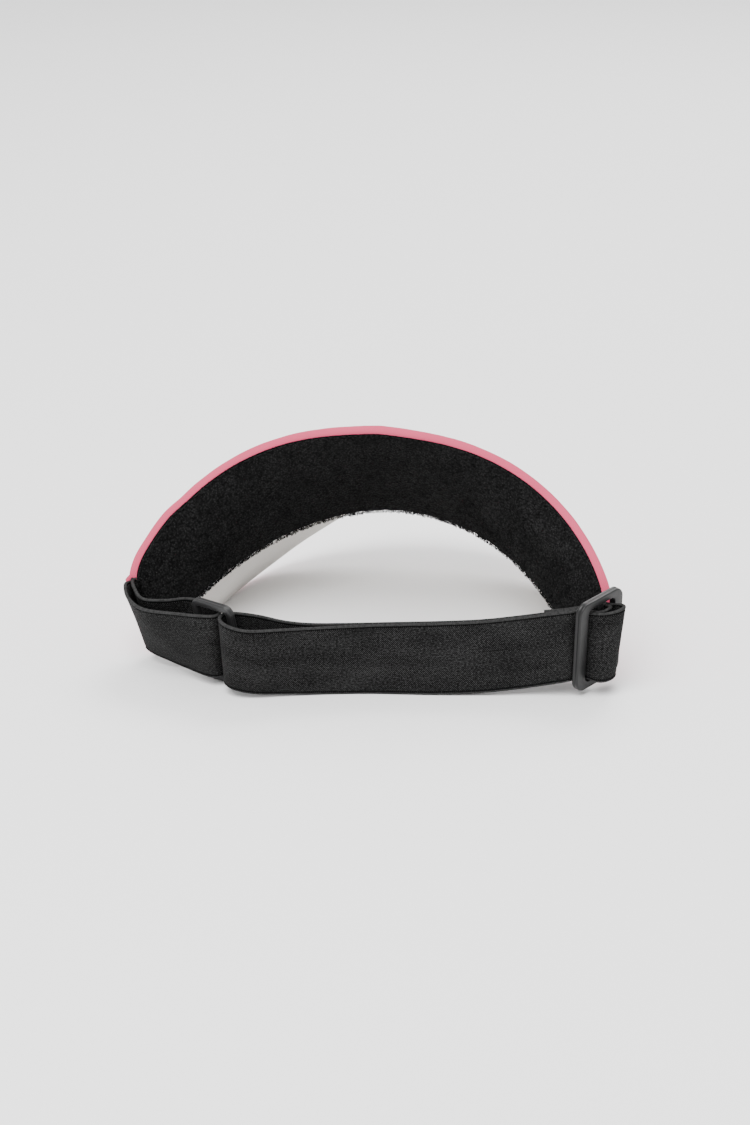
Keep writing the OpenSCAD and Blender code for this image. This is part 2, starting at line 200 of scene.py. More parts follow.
TAIL_ROUTE = np.array(
    [[-75, 81.4, 4.7, 0, -2], [-84, 80, 6.4, 0, -0.4]]
    + [slider_row(p) for p in (
        [-6.6, -6.9, -0.4, 1.4], [-4, -4.9, -1.4, 2.4], [-2.7, -2, -2, 3],
        [-1.6, 0.9, -1.6, 3], [0.6, 2.2, -0.8, 2.6], [3.2, 1.8, -0.4, 2.4],
        [4.2, -0.2, -1.5, 2.2], [3.9, -3, -1.4, 2.8], [1.2, -4.8, -1, 3],
        [-3.2, -7, -0.8, 2], [-8.4, -8.8, 0, 0.6])]
    + [[-81, 78.7, 5.8, 0, -1.2], [-73.5, 79.6, 4.7, 0, -2.2]])


# ---- Meshes ----
def new_object(name, verts, faces, uv=None):
    """A mesh object from points in the part's millimetres."""
    mesh = bpy.data.meshes.new(name)
    mesh.from_pydata(((np.asarray(verts) + ORIGIN) * MM).tolist(), [], faces)
    if uv is not None:
        layer = mesh.uv_layers.new(name="lay")
        layer.data.foreach_set("uv", np.asarray(uv, float)[
            np.fromiter((v for p in faces for v in p), int)].ravel())
    mesh.polygons.foreach_set("use_smooth", [True] * len(mesh.polygons))
    mesh.update()
    obj = bpy.data.objects.new(name, mesh)
    bpy.context.scene.collection.objects.link(obj)
    return obj


def grid_faces(n, m, wrap, start=0):
    """Quads over an n by m grid of points, closed round m if wrap is set."""
    cols = m if wrap else m - 1
    return [(start + i * m + j, start + i * m + (j + 1) % m,
             start + (i + 1) * m + (j + 1) % m, start + (i + 1) * m + j)
            for i in range(n - 1) for j in range(cols)]


def lengths(points):
    """Distance along a row of points, starting at 0."""
    return np.concatenate([[0], np.cumsum(np.linalg.norm(np.diff(points, axis=0), axis=1))])


def swept(name, rings, uv=None):
    """A closed solid through rings of points, n by m by 3."""
    n, m = rings.shape[:2]
    faces = grid_faces(n, m, True)
    faces.append(tuple(range(m - 1, -1, -1)))
    faces.append(tuple((n - 1) * m + j for j in range(m)))
    if uv is None:
        u = lengths(rings[:, 0])
        v = lengths(rings[n // 2])
        uv = np.stack(np.meshgrid(u, v, indexing="ij"), -1)
    obj = new_object(name, rings.reshape(-1, 3), faces, uv.reshape(-1, 2))
    face_outwards(obj)
    return obj


def face_outwards(obj):
    """Turns the faces so that a closed solid's volume is positive."""
    mesh = obj.data
    mesh.calc_loop_triangles()
    co = np.empty(len(mesh.vertices) * 3)
    mesh.vertices.foreach_get("co", co)
    tri = np.empty(len(mesh.loop_triangles) * 3, int)
    mesh.loop_triangles.foreach_get("vertices", tri)
    p = co.reshape(-1, 3)[tri.reshape(-1, 3)]
    if np.einsum("ij,ij->i", p[:, 0], np.cross(p[:, 1], p[:, 2])).sum() < 0:
        mesh.flip_normals()


def noise_grid(rng, n, m, cell):
    """Smooth seeded noise, n by m, about -1 to 1, with features of the given size in steps."""
    rows, cols = int(n / cell) + 3, int(m / cell) + 3
    coarse = rng.uniform(-1, 1, (rows, cols))
    x = np.arange(n) / cell
    y = np.arange(m) / cell
    i, j = x.astype(int), y.astype(int)
    fx, fy = (x - i)[:, None], (y - j)[None, :]
    fx, fy = fx * fx * (3 - 2 * fx), fy * fy * (3 - 2 * fy)
    g = lambda a, b: coarse[np.ix_(i + a, j + b)]
    return (g(0, 0) * (1 - fx) * (1 - fy) + g(1, 0) * fx * (1 - fy)
            + g(0, 1) * (1 - fx) * fy + g(1, 1) * fx * fy)


# ---- Materials ----
def grey(value):
    return (value, value, value)


class Nodes:
    """Short names for building one material's node tree."""

    def __init__(self, name, rough, **sockets):
        self.mat = bpy.data.materials.new(name)
        self.mat.use_nodes = True
        self.tree = self.mat.node_tree
        self.shader = self.tree.nodes["Principled BSDF"]
        self.shader.inputs["Roughness"].default_value = rough
        for key, value in sockets.items():
            self.shader.inputs[key.replace("_", " ")].default_value = value

    def add(self, kind, **values):
        node = self.tree.nodes.new("ShaderNode" + kind)
        for key, value in values.items():
            setattr(node, key, value)
        return node

    def link(self, a, b):
        self.tree.links.new(a, b)

    def uv(self, scale=(1, 1, 1)):
        lay = self.add("UVMap", uv_map="lay")
        place = self.add("Mapping")
        place.inputs["Scale"].default_value = scale
        self.link(lay.outputs["UV"], place.inputs["Vector"])
        return place.outputs["Vector"]

    def object(self, scale=1000.0):
        place = self.add("Mapping")
        place.inputs["Scale"].default_value = (scale,) * 3
        self.link(self.add("TexCoord").outputs["Object"], place.inputs["Vector"])
        return place.outputs["Vector"]

    def noise(self, vector, scale, detail=2.0, rough=0.5):
        node = self.add("TexNoise")
        node.inputs["Scale"].default_value = scale
        node.inputs["Detail"].default_value = detail
        node.inputs["Roughness"].default_value = rough
        self.link(vector, node.inputs["Vector"])
        return node.outputs["Fac"]

    def voronoi(self, vector, scale):
        node = self.add("TexVoronoi")
        node.inputs["Scale"].default_value = scale
        self.link(vector, node.inputs["Vector"])
        return node.outputs["Distance"]

    def math(self, kind, a, b=None, c=None):
        node = self.add("Math", operation=kind)
        for k, v in enumerate((a, b, c)):
            if v is None:
                continue
            if isinstance(v, (int, float)):
                node.inputs[k].default_value = v
            else:
                self.link(v, node.inputs[k])
        return node.outputs[0]

    def ramp(self, value, *stops):
        node = self.add("ValToRGB")
        ramp = node.color_ramp
        while len(ramp.elements) < len(stops):
            ramp.elements.new(0.5)
        for element, (at, colour) in zip(ramp.elements, stops):
            element.position = at
            element.color = (*colour, 1)
        self.link(value, node.inputs["Fac"])
        return node.outputs["Color"]

    def blend(self, factor, a, b):
        node = self.add("Mix", data_type="RGBA")
        for socket, v in ((node.inputs[0], factor), (node.inputs[6], a), (node.inputs[7], b)):
            if isinstance(v, (int, float)):
                socket.default_value = v
            elif isinstance(v, tuple):
                socket.default_value = (*v, 1)
            else:
                self.link(v, socket)
        return node.outputs[2]

    def colour(self, value):
        self.link(value, self.shader.inputs["Base Color"])

    def rough(self, value):
        self.link(value, self.shader.inputs["Roughness"])

    def bump(self, height, depth):
        node = self.add("Bump")
        node.inputs["Strength"].default_value = 1.0
        node.inputs["Distance"].default_value = depth * MM
        self.link(height, node.inputs["Height"])
        self.link(node.outputs["Normal"], self.shader.inputs["Normal"])

    def split(self, vector):
        node = self.add("SeparateXYZ")
        self.link(vector, node.inputs["Vector"])
        return node.outputs


def woven(name, dark, light, pitch, depth, sheen, rough=0.85):
    """Plain-weave fabric: crossing threads of the given pitch in millimetres."""
    k = Nodes(name, rough, Sheen_Weight=sheen, Sheen_Roughness=0.45, Specular_IOR_Level=0.25)
    lay = k.uv()
    xy = k.split(lay)
    wave = math.pi / pitch
    warp = k.math("SINE", k.math("MULTIPLY", xy[0], wave))
    weft = k.math("SINE", k.math("MULTIPLY", xy[1], wave))
    weave = k.math("MULTIPLY_ADD", k.math("MULTIPLY", warp, weft), 0.5, 0.5)
    slubs = k.noise(k.uv((0.6, 6, 1)), 1.0, 3)
    cloud = k.noise(k.object(), 0.04, 4)
    tone = k.math("ADD", k.math("MULTIPLY", weave, 0.35),
                  k.math("ADD", k.math("MULTIPLY", slubs, 0.3), k.math("MULTIPLY", cloud, 0.35)))
    k.colour(k.ramp(tone, (0.25, dark), (0.75, light)))
    k.bump(k.math("ADD", weave, k.math("MULTIPLY", slubs, 0.5)), depth)
    return k.mat


def terry_material(name, loose=False):
    """Looped pile; the loose loops are darker and flatter."""
    k = Nodes(name, 0.95, Sheen_Weight=0.012, Sheen_Roughness=0.6, Specular_IOR_Level=0.04)
    spot = k.object()
    loops = k.voronoi(spot, 1.15)
    fine = k.noise(spot, 2.2, 4, 0.65)
    patch = k.noise(spot, 0.07, 3)
    tone = k.math("ADD", k.math("MULTIPLY", k.math("SUBTRACT", 1.0, loops), 0.45),
                  k.math("ADD", k.math("MULTIPLY", fine, 0.45), k.math("MULTIPLY", patch, 0.25)))
    bright = 0.016 if loose else 0.026
    k.colour(k.ramp(tone, (0.42, grey(0.003)), (0.6, grey(0.0085)),
                    (0.8, (bright, bright, bright))))
    k.bump(k.math("ADD", k.math("MULTIPLY", loops, -1.0), k.math("MULTIPLY", fine, 0.8)),
           0.5 if not loose else 0.15)
    return k.mat


def webbing_material(name):
    """Elastic webbing: fine ribs crossed by picks, pale selvedges and a dotted line inside them."""
    k = Nodes(name, 0.85, Sheen_Weight=0.01, Sheen_Roughness=0.5, Specular_IOR_Level=0.06)
    lay = k.uv()
    xy = k.split(lay)
    ribs = k.math("SINE", k.math("MULTIPLY", xy[1], 2 * math.pi / 0.92))
    picks = k.math("SINE", k.math("MULTIPLY", xy[0], 2 * math.pi / 0.8))
    grid = k.math("MULTIPLY_ADD", k.math("MULTIPLY", ribs, picks), 0.5, 0.5)
    edge = k.math("MINIMUM", xy[1], k.math("SUBTRACT", WEB_W, xy[1]))
    lip = k.math("LESS_THAN", edge, 0.8)
    groove = k.math("MULTIPLY", k.math("GREATER_THAN", edge, 0.8), k.math("LESS_THAN", edge, 1.7))
    fuzz = k.noise(k.uv((1.1, 1.7, 1)), 1.0, 4, 0.75)
    cloud = k.noise(k.uv((0.05, 0.15, 1)), 1.0, 3)
    tone = k.math("ADD", k.math("MULTIPLY", grid, 0.2),
                  k.math("ADD", k.math("MULTIPLY", fuzz, 0.68), k.math("MULTIPLY", cloud, 0.12)))
    body = k.ramp(tone, (0.41, grey(0.0005)), (0.5, grey(0.0045)),
                  (0.6, grey(0.036)))
    pale = k.ramp(fuzz, (0.35, grey(0.012)), (0.65, grey(0.04)))
    dots = k.math("MULTIPLY", groove, k.math("GREATER_THAN", picks, -0.2))
    shade = k.blend(lip, body, pale)
    k.colour(k.blend(k.math("MULTIPLY", dots, 0.95), shade, grey(0.0004)))
    high = k.math("ADD", k.math("MULTIPLY", grid, 0.8), k.math("MULTIPLY", fuzz, 0.6))
    k.bump(k.math("SUBTRACT", high, k.math("MULTIPLY", dots, 1.5)), 0.12)
    return k.mat


def thread_material(name, dark, light):
    """Two-ply thread with a slanting twist."""
    k = Nodes(name, 0.75, Sheen_Weight=0.02, Sheen_Roughness=0.4, Specular_IOR_Level=0.15)
    lay = k.uv()
    xy = k.split(lay)
    turns = k.math("ADD", k.math("MULTIPLY", xy[0], 9.0), k.math("MULTIPLY", xy[1], 4.0))
    twist = k.math("SINE", turns)
    strand = k.math("MULTIPLY_ADD", twist, 0.5, 0.5)
    k.colour(k.ramp(strand, (0.1, dark), (0.8, light)))
    k.bump(strand, 0.06)
    return k.mat


def plastic_material(name, dark, light, rough=0.38):
    """Satin moulded plastic with a fine spark-eroded grain and faint handling wear."""
    k = Nodes(name, rough, Specular_IOR_Level=0.3)
    spot = k.object()
    grain = k.noise(spot, 3.2, 3, 0.6)
    cloud = k.noise(spot, 0.12, 4)
    k.colour(k.ramp(k.math("MULTIPLY_ADD", grain, 0.4, k.math("MULTIPLY", cloud, 0.6)),
                    (0.3, dark), (0.7, light)))
    k.rough(k.math("MULTIPLY_ADD", k.noise(spot, 0.5, 4), 0.18, rough - 0.09))
    k.bump(grain, 0.035)
    return k.mat


PINK = woven("pink_weave", (0.5, 0.055, 0.118), (0.6, 0.085, 0.155), 0.42, 0.06, 0.04)
LINING = woven("lining_weave", (0.56, 0.535, 0.5), (0.7, 0.675, 0.64), 0.5, 0.05, 0.2)
FOAM = woven("stiffener_weave", (0.62, 0.62, 0.61), (0.76, 0.76, 0.75), 0.9, 0.1, 0.1)
TERRY = terry_material("terry_loops")
TUFT = terry_material("terry_tufts", loose=True)
WEBBING = webbing_material("elastic_webbing")
PINK_THREAD = thread_material("pink_thread", (0.46, 0.05, 0.105), (0.66, 0.12, 0.2))
BLACK_THREAD = thread_material("black_thread", grey(0.002), grey(0.009))
PLASTIC = plastic_material("moulded_plastic", (0.006, 0.006, 0.0062), (0.010, 0.010, 0.0102))
RING_PLASTIC = plastic_material("ring_plastic", (0.014, 0.014, 0.0143), (0.024, 0.024, 0.0245),
                                0.36)
BOARD = plastic_material("board_plastic", (0.62, 0.61, 0.58), (0.72, 0.71, 0.68), 0.5)


def dress(obj, material, body, slot, *nodes):
    """Gives a piece its material and its body, and hides the nodes that it replaces; the slot
    argument is not used.
    """
    obj.data.materials.append(material)
    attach(obj, body)
    if nodes:
        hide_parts(*nodes)
    return obj


# ---- Crown fabric: one ply up the front, round the soft roll and tucked in behind it ----
rng = np.random.default_rng(7)


def crown_fabric():
    n = 361
    angles = np.linspace(SWEEP, -SWEEP, n)
    r, ri = ROLL / 2, ROLL / 2 - SHELL_T
    rise = 40
    profile = []
    for k in range(rise + 1):
        profile.append(("w", k / rise, r))
    for k in range(1, 19):
        profile.append(("o", 170 * k / 18, r))
    for k in range(17, 0, -1):
        profile.append(("o", 170 * k / 17, ri))
    for k in range(rise, -1, -1):
        profile.append(("w", k / rise, ri))
    pucker = noise_grid(rng, n, 60, 6)
    wide = noise_grid(rng, n, 60, 34)
    rings = np.empty((n, len(profile), 3))
    for i, a in enumerate(angles):
        w = float(panel_w(a))
        top = w - r
        fade = min(1.0, (SWEEP - abs(a)) / 2.0)
        foot = 5.5 * max(0.0, (abs(a) - SWEEP + 3.5) / 3.5) ** 2
        s, d = [], []
        for kind, q, radius in profile:
            if kind == "w":
                s.append(mix(foot, top, q))
                soft = 0.10 * wide[i, int(q * 58)] * math.sin(math.pi * q) * fade
                seam = math.exp(-((top * q - 5.2) / 1.1) ** 2) * -0.16 if abs(a) < BRIM_REACH else 0
                tight = 0.07 * pucker[i, int(q * 58)] * math.exp(-((top * q - 5.2) / 4) ** 2)
                d.append(radius + soft + (seam + tight) * (1 if radius == r else 0.5))
            else:
                t = math.radians(q)
                wob = radius + 0.10 * pucker[i, 30 + int(q / 8)] * (0.4 + 0.6 * math.sin(t)) * fade
                s.append(top + wob * math.sin(t))
                d.append(wob * math.cos(t))
        rings[i] = crown_at(a, s, np.array(d) + swell(a))
    obj = swept("crown_fabric", rings)
    return dress(obj, PINK, "visor", "pink_fabric", "crown_shell")


crown_fabric()


def end_hem(side):
    """Folded hem down one end of the crown fabric: turned back on itself and pressed."""
    n, m = 70, 16
    rings = np.empty((n, m, 3))
    top = float(panel_w(SWEEP)) + (0.2 if side > 0 else -9)
    inset = 0.55 if side > 0 else 1.5
    for i in range(n):
        q = i / (n - 1)
        s = mix(6.0, top, q)
        fat = 1 + 0.12 * math.sin(q * 23) + 0.45 * q ** 6
        for j in range(m):
            t = 2 * math.pi * j / m
            wide = 1.35 * math.cos(t) * fat
            deep = 1.0 * math.sin(t) * (1.05 + 0.1 * math.sin(q * 11))
            deg = math.degrees((wide - inset) / 94)
            rings[i, j] = crown_at(side * (SWEEP + deg), s,
                                   1.55 + deep + float(swell(side * SWEEP)))
    obj = swept("end_hem_left" if side > 0 else "end_hem_right", rings)
    return dress(obj, PINK, "visor", "pink_fabric")


for side in (1, -1):
    end_hem(side)


# ---- Stiffener between the outer fabric and the terry ----
def stiffener():
    n = 201
    skip = SWEEP * 10 / 60
    angles = np.linspace(SWEEP - skip, -SWEEP + skip, n)
    out, inner = ROLL / 2 - SHELL_T - LAYER_GAP, LAYER_GAP - (ROLL / 2 - TERRY_T)
    rings = []
    for a in angles:
        q = np.linspace(0, 1, 31)
        s = mix(1.2, float(panel_w(a)) - ROLL, q)
        ripple = 0.03 * np.sin(s * 4) * np.sin(a * 9)
        s_all = np.concatenate([s, s[::-1]])
        d_all = np.concatenate([out - 0.05 + ripple, inner + 0.05 + ripple[::-1]])
        rings.append(crown_at(a, s_all, d_all))
    return dress(swept("stiffener_pad", np.array(rings)), FOAM, "visor", "stiffener_foam",
                 "crown_stiffener")


stiffener()


# ---- Terry band: looped pile over a thin ground, ragged along its lower edge ----
def band_foot(a):
    return mix(1.5, 4.6, along(a))


def terry_band():
    n, m = 560, 130
    angles = np.linspace(SWEEP + 0.1, -SWEEP - 0.1, n)
    loops = noise_grid(rng, n, m, 2.1) * 0.55 + noise_grid(rng, n, m, 1.2) * 0.45
    clump = noise_grid(rng, n, m, 7)
    hills = noise_grid(rng, n, m, 26)
    ragged = noise_grid(rng, n, 4, 1.6)[:, 1] * 0.5 + noise_grid(rng, n, 4, 5)[:, 2] * 0.35
    frayed = noise_grid(rng, 4, m, 1.8)[1] * 0.35
    pile = np.empty((n, m, 3))
    ground = np.empty((n, m, 3))
    q = np.linspace(0, 1, m)
    for i, a in enumerate(angles):
        low = band_foot(a) + 0.15 + ragged[i] * 0.55
        high = float(panel_w(a)) - 1.75
        s = mix(low, high, q)
        round_edge = np.sqrt(np.clip(1 - (1 - np.clip(q * 26, 0, 1)) ** 2, 0, 1))
        round_top = np.sqrt(np.clip(1 - (1 - np.clip((1 - q) * 30, 0, 1)) ** 2, 0, 1))
        side = min(1.0, (SWEEP + 0.1 - abs(a)) / 0.9)
        body = round_edge * round_top * math.sqrt(max(0, 1 - (1 - side) ** 2))
        height = 1.18 + 0.3 * loops[i] + 0.16 * clump[i] + 0.14 * hills[i]
        height = height * body + 0.05
        spread = a + (frayed / 95 * 57.3) * (1 - side) * math.copysign(1, a)
        pile[i] = crown_at(spread, s, -(0.5 + height))
        ground[i] = crown_at(spread, s, -0.42 + 0 * s)
    verts = np.concatenate([pile.reshape(-1, 3), ground.reshape(-1, 3)])
    faces = grid_faces(n, m, False)
    faces += [f[::-1] for f in grid_faces(n, m, False, n * m)]
    rim = ([(i, 0) for i in range(n)] + [(n - 1, j) for j in range(1, m)]
           + [(i, m - 1) for i in range(n - 2, -1, -1)] + [(0, j) for j in range(m - 2, 0, -1)])
    for (i, j), (i2, j2) in zip(rim, rim[1:] + rim[:1]):
        a, b = i * m + j, i2 * m + j2
        faces.append((b, a, a + n * m, b + n * m))
    u = np.radians(angles)[:, None] * 95 + 0 * q[None, :]
    v = 0 * angles[:, None] + 60 * q[None, :]
    uv = np.stack([u, v], -1).reshape(-1, 2)
    obj = new_object("terry_band", verts, faces, np.concatenate([uv, uv]))
    face_outwards(obj)
    return dress(obj, TERRY, "visor", "black_terry", "sweatband")


terry_band()


def terry_tufts():
    """Loose loops standing out of the pile, thicker along the band's edges."""
    pick = random.Random(11)
    verts, faces, uvs = [], [], []

    def loop(a, s, d, lean_a, lean_s, size):
        base = len(verts)
        steps, sides = 5, 3
        tilt = pick.uniform(0, math.pi)
        for i in range(steps + 1):
            t = math.pi * i / steps
            da = math.cos(t) * size * 0.5 * math.cos(tilt) + lean_a * math.sin(t)
            ds = math.cos(t) * size * 0.5 * math.sin(tilt) + lean_s * math.sin(t)
            dd = -math.sin(t) * size * 0.8
            for j in range(sides):
                w = 2 * math.pi * j / sides
                verts.append((a + math.degrees((da + 0.11 * math.cos(w)) / 95),
                              s + ds + 0.11 * math.sin(w), d + dd + 0.05 * math.cos(w + 1)))
                uvs.append((i * 0.4, j * 0.2))
        for i in range(steps):
            for j in range(sides):
                k = (j + 1) % sides
                faces.append((base + i * sides + j, base + i * sides + k,
                              base + (i + 1) * sides + k, base + (i + 1) * sides + j))

    for _ in range(5200):
        a = pick.uniform(-SWEEP, SWEEP)
        low, high = float(band_foot(a)) + 0.4, float(panel_w(a)) - 2.6
        loop(a, pick.uniform(low, high), -1.5, pick.uniform(-.3, .3), pick.uniform(-.4, .3),
             pick.uniform(0.5, 1.0))
    for _ in range(1500):
        a = pick.uniform(-SWEEP, SWEEP)
        loop(a, float(band_foot(a)) + pick.uniform(-0.1, 0.5), pick.uniform(-1.5, -0.6),
             pick.uniform(-.4, .4), pick.uniform(-0.75, -0.2), pick.uniform(0.5, 1.1))
    for _ in range(700):
        a = pick.uniform(-SWEEP, SWEEP)
        loop(a, float(panel_w(a)) - 2.1 + pick.uniform(-0.4, 0.2), -1.55, pick.uniform(-.4, .4),
             pick.uniform(0, 0.4), pick.uniform(0.4, 0.8))
    for side in (1, -1):
        for _ in range(160):
            a = side * (SWEEP + pick.uniform(-0.3, 0.25))
            s = pick.uniform(float(band_foot(SWEEP)), float(panel_w(SWEEP)) - 2)
            loop(a, s, pick.uniform(-1.5, -0.7), side * pick.uniform(0.1, 0.7),
                 pick.uniform(-.3, .3), pick.uniform(0.5, 1.0))
    v = np.array(verts)
    points = crown_at(v[:, 0], v[:, 1], v[:, 2])
    obj = new_object("terry_tufts", points, faces, np.array(uvs))
    return dress(obj, TUFT, "visor", "black_terry")


terry_tufts()


# ---- Brim ----
def brim_cover(name, low, high, lip, material, slot, node):
    """One cover of the brim: a thin skin whose edge bulges where it is turned and sewn."""
    n, m = 241, 44
    middle = (low + high) / 2
    half = (high - low) / 2
    side = 1 if middle > 0 else -1
    rings = np.empty((n, 2 * m, 3))
    puffs = noise_grid(rng, n, m, 17)
    for i in range(n):
        t = BRIM_SIDE * (2 * i / (n - 1) - 1)
        reach = np.linalg.norm(brim_outer(t) - brim_inner(t, 0))
        for j in range(m):
            f = (j / (m - 1)) ** 0.8
            puff = 0.10 * puffs[i, j] * math.sin(math.pi * f)
            sink = -0.12 * math.exp(-(((1 - f) * reach - 4.6) / 0.7) ** 2)
            drop = lip * max(0.0, 1 - (1 - f) * reach / 1.4) ** 2 * -side
            lo, hi = middle - half, middle + half
            if side > 0:
                hi += sink + puff
            else:
                lo -= sink + puff
            rings[i, j] = brim_at(t, f, hi + (drop if side > 0 else 0))
            rings[i, 2 * m - 1 - j] = brim_at(t, f, lo + (drop if side < 0 else 0))
    obj = swept(name, rings)
    return dress(obj, material, "visor", slot, node)


brim_cover("brim_upper_fabric", COVER_AT, COVER_AT + COVER_T, 0.15, PINK, "pink_fabric",
           "brim_top_cover")
brim_cover("brim_lining_fabric", -COVER_AT - COVER_T, -COVER_AT, 0.15, LINING,
           "off_white_lining", "brim_under_cover")


def brim_rim():
    """Pink fabric turned over the brim's outer edge and caught inside it."""
    n, m = 321, 22
    rings = np.empty((n, m, 3))
    thick = COVER_AT + COVER_T
    for i in range(n):
        t = BRIM_SIDE * (2 * i / (n - 1) - 1)
        reach = np.linalg.norm(brim_outer(t) - brim_inner(t, 0))
        for j in range(m):
            w = 2 * math.pi * j / m
            push = math.cos(w)
            reach_out = 0.7 * push if push > 0 else 1.6 * push
            height = (thick + 0.15) * math.copysign(abs(math.sin(w)) ** 0.7, math.sin(w))
            height *= 1.0 if math.sin(w) > 0 else 0.5
            rings[i, j] = brim_at(t, 1 + (reach_out + 0.1) / reach, height)
    obj = swept("brim_rim", rings)
    return dress(obj, PINK, "visor", "pink_fabric")


brim_rim()
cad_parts["brim_board"].data.materials.clear()
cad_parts["brim_board"].data.materials.append(BOARD)


# ---- Stitches: short arched threads that dip into the fabric at both ends ----
def thread_row(name, ends, material, body, slot, node, radius=0.27):
    """One object with a thread from each start to its end, bowed up along out."""
    verts, faces, uvs = [], [], []
    for a, b, out in ends:
        run = b - a
        length = np.linalg.norm(run)
        ahead = run / length
        across = np.cross(ahead, out)
        across /= np.linalg.norm(across)
        up = np.cross(across, ahead)
        base, steps, sides = len(verts), 8, 7
        for i in range(steps + 1):
            q = i / steps
            fat = math.sqrt(max(0.05, 1 - (2 * q - 1) ** 6))
            sink = -0.55 * (abs(2 * q - 1) ** 4)
            for j in range(sides):
                w = 2 * math.pi * j / sides
                verts.append(a + run * q + across * radius * fat * math.cos(w)
                             + up * (radius * 0.85 * fat * math.sin(w) + sink))
                uvs.append((q * length, radius * w))
        for i in range(steps):
            for j in range(sides):
                k = (j + 1) % sides
                faces.append((base + i * sides + j, base + i * sides + k,
                              base + (i + 1) * sides + k, base + (i + 1) * sides + j))
        faces.append(tuple(base + j for j in range(sides - 1, -1, -1)))
        faces.append(tuple(base + steps * sides + j for j in range(sides)))
    obj = new_object(name, np.array(verts), faces, np.array(uvs))
    return dress(obj, material, body, slot, node)


def crown_stitch_ends(points, d):
    """Pairs of points on the crown, with the outward direction there."""
    out = []
    for (a, s), (b, s2) in points:
        puff = swell(a) if d > 0 else 0
        p, q = crown_at(a, s, d + puff), crown_at(b, s2, d + puff)
        lift = crown_at(a, s, d + puff + math.copysign(1, d)) - p
        out.append((p, q, lift))
    return out


SEAM_STITCHES, BRIM_STITCHES, BAND_STITCHES, END_STITCHES = 50, 60, 50, 9
STITCH_SHARE = 0.7
step = 2 * BRIM_REACH / SEAM_STITCHES
thread_row("crown_seam_thread", crown_stitch_ends(
    [((-BRIM_REACH + step * i, 6), (-BRIM_REACH + step * (i + STITCH_SHARE), 6))
     for i in range(SEAM_STITCHES)],
    ROLL / 2 + 0.12), PINK_THREAD, "visor", "pink_thread", "crown_stitching")
step = 1.9 / BRIM_STITCHES
up = COVER_AT + COVER_T + 0.12
thread_row("brim_edge_thread", [
    (brim_at(-0.95 + step * i, 0.9, up), brim_at(-0.95 + step * (i + STITCH_SHARE), 0.9, up),
     brim_up(-0.95 + step * i)) for i in range(BRIM_STITCHES)],
    PINK_THREAD, "visor", "pink_thread", "brim_stitching")
reach = SWEEP - CORNER_SWEEP - 1
step = 2 * reach / BAND_STITCHES
below = ROLL / 2 - 0.4 + 1
thread_row("band_thread", crown_stitch_ends(
    [((-reach + step * i, float(panel_w(-reach + step * i)) - below),
      (-reach + step * (i + 0.6), float(panel_w(-reach + step * (i + 0.6))) - below))
     for i in range(BAND_STITCHES)], -ROLL / 2 - 0.2), BLACK_THREAD, "visor", "black_thread",
    "sweatband_stitching")
for side, label in ((1, "left"), (-1, "right")):
    thread_row(label + "_end_thread", crown_stitch_ends(
        [((side * a, 7 + 2.8 * i), (side * a, 7 + 2.8 * (i + STITCH_SHARE)))
         for a in (SWEEP - 6, SWEEP - 3) for i in range(END_STITCHES)], ROLL / 2 + 0.12),
        BLACK_THREAD, "visor", "black_thread", label + "_end_stitching")


# ---- Elastic webbing: ribbed band with rounded selvedges ----
def web_profile():
    """Half-thicknesses across the width: (distance from the lower edge, half thickness)."""
    h = WEB_T / 2
    points = []
    for k in range(7):
        t = math.pi / 2 * k / 6
        points.append((0.55 * (1 - math.cos(t)), (h + 0.06) * math.sin(t)))
    points += [(0.8, h + 0.04), (1.0, h - 0.22), (1.45, h - 0.2)]
    ribs = np.linspace(1.6, WEB_W - 1.6, 60)
    points += [(x, h - 0.05 - 0.02 * math.cos(2 * math.pi * (x - 1.6) / 1.84)) for x in ribs]
    points += [(WEB_W - x, y) for x, y in reversed(points[:10])]
    return points


WEB_PROFILE = web_profile()
WEB_STEP = 0.9


def web_band(name, rows, a, b):
    """The webbing from row a to row b of a route."""
    fine = np.linspace(a, b, int((b - a) * 60) + 1)
    track = lengths(np.array([sum(web_rail(rows, t)) / 2 for t in fine]))
    count = max(8, int(track[-1] / WEB_STEP))
    places = np.interp(np.linspace(0, track[-1], count + 1), track, fine)
    half = len(WEB_PROFILE)
    rings = np.empty((count + 1, 2 * half - 2, 3))
    uv = np.empty((count + 1, 2 * half - 2, 2))
    for i, t in enumerate(places):
        low, high, out = web_frame(rows, t)
        u = track[-1] * i / count
        across = (high - low) / WEB_W
        for j, (x, y) in enumerate(WEB_PROFILE):
            rings[i, j] = low + across * x + out * y
            uv[i, j] = (u, x)
            if 0 < j < half - 1:
                rings[i, 2 * half - 2 - j] = low + across * x - out * y
                uv[i, 2 * half - 2 - j] = (u, x)
    return swept(name, rings, uv=uv)


full_route = np.concatenate([TAIL_ROUTE[::-1], STRAP_ROUTE])
tail_rows = len(TAIL_ROUTE)
strap = web_band("strap_webbing", full_route, 0, tail_rows + 31.5)
strap.data.materials.append(WEBBING)
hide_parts("strap_inner_run", "strap_ring_turn", "strap_outer_run", "strap_slider_pass",
            "strap_tail_loop")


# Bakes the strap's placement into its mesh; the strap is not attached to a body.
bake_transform(strap)

end_band = web_band("strap_end_webbing", STRAP_ROUTE, 31.5, len(STRAP_ROUTE) - 1)
end_band.data.materials.append(WEBBING)
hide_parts("strap_end_bend")
towards = np.array([-S_FACE[0], -S_FACE[1], 0.16])
towards /= np.linalg.norm(towards)
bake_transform(end_band)

dress(web_band("short_loop_webbing", SHORT_ROUTE, 0, len(SHORT_ROUTE) - 1), WEBBING, "visor",
      "elastic_webbing", "short_loop")

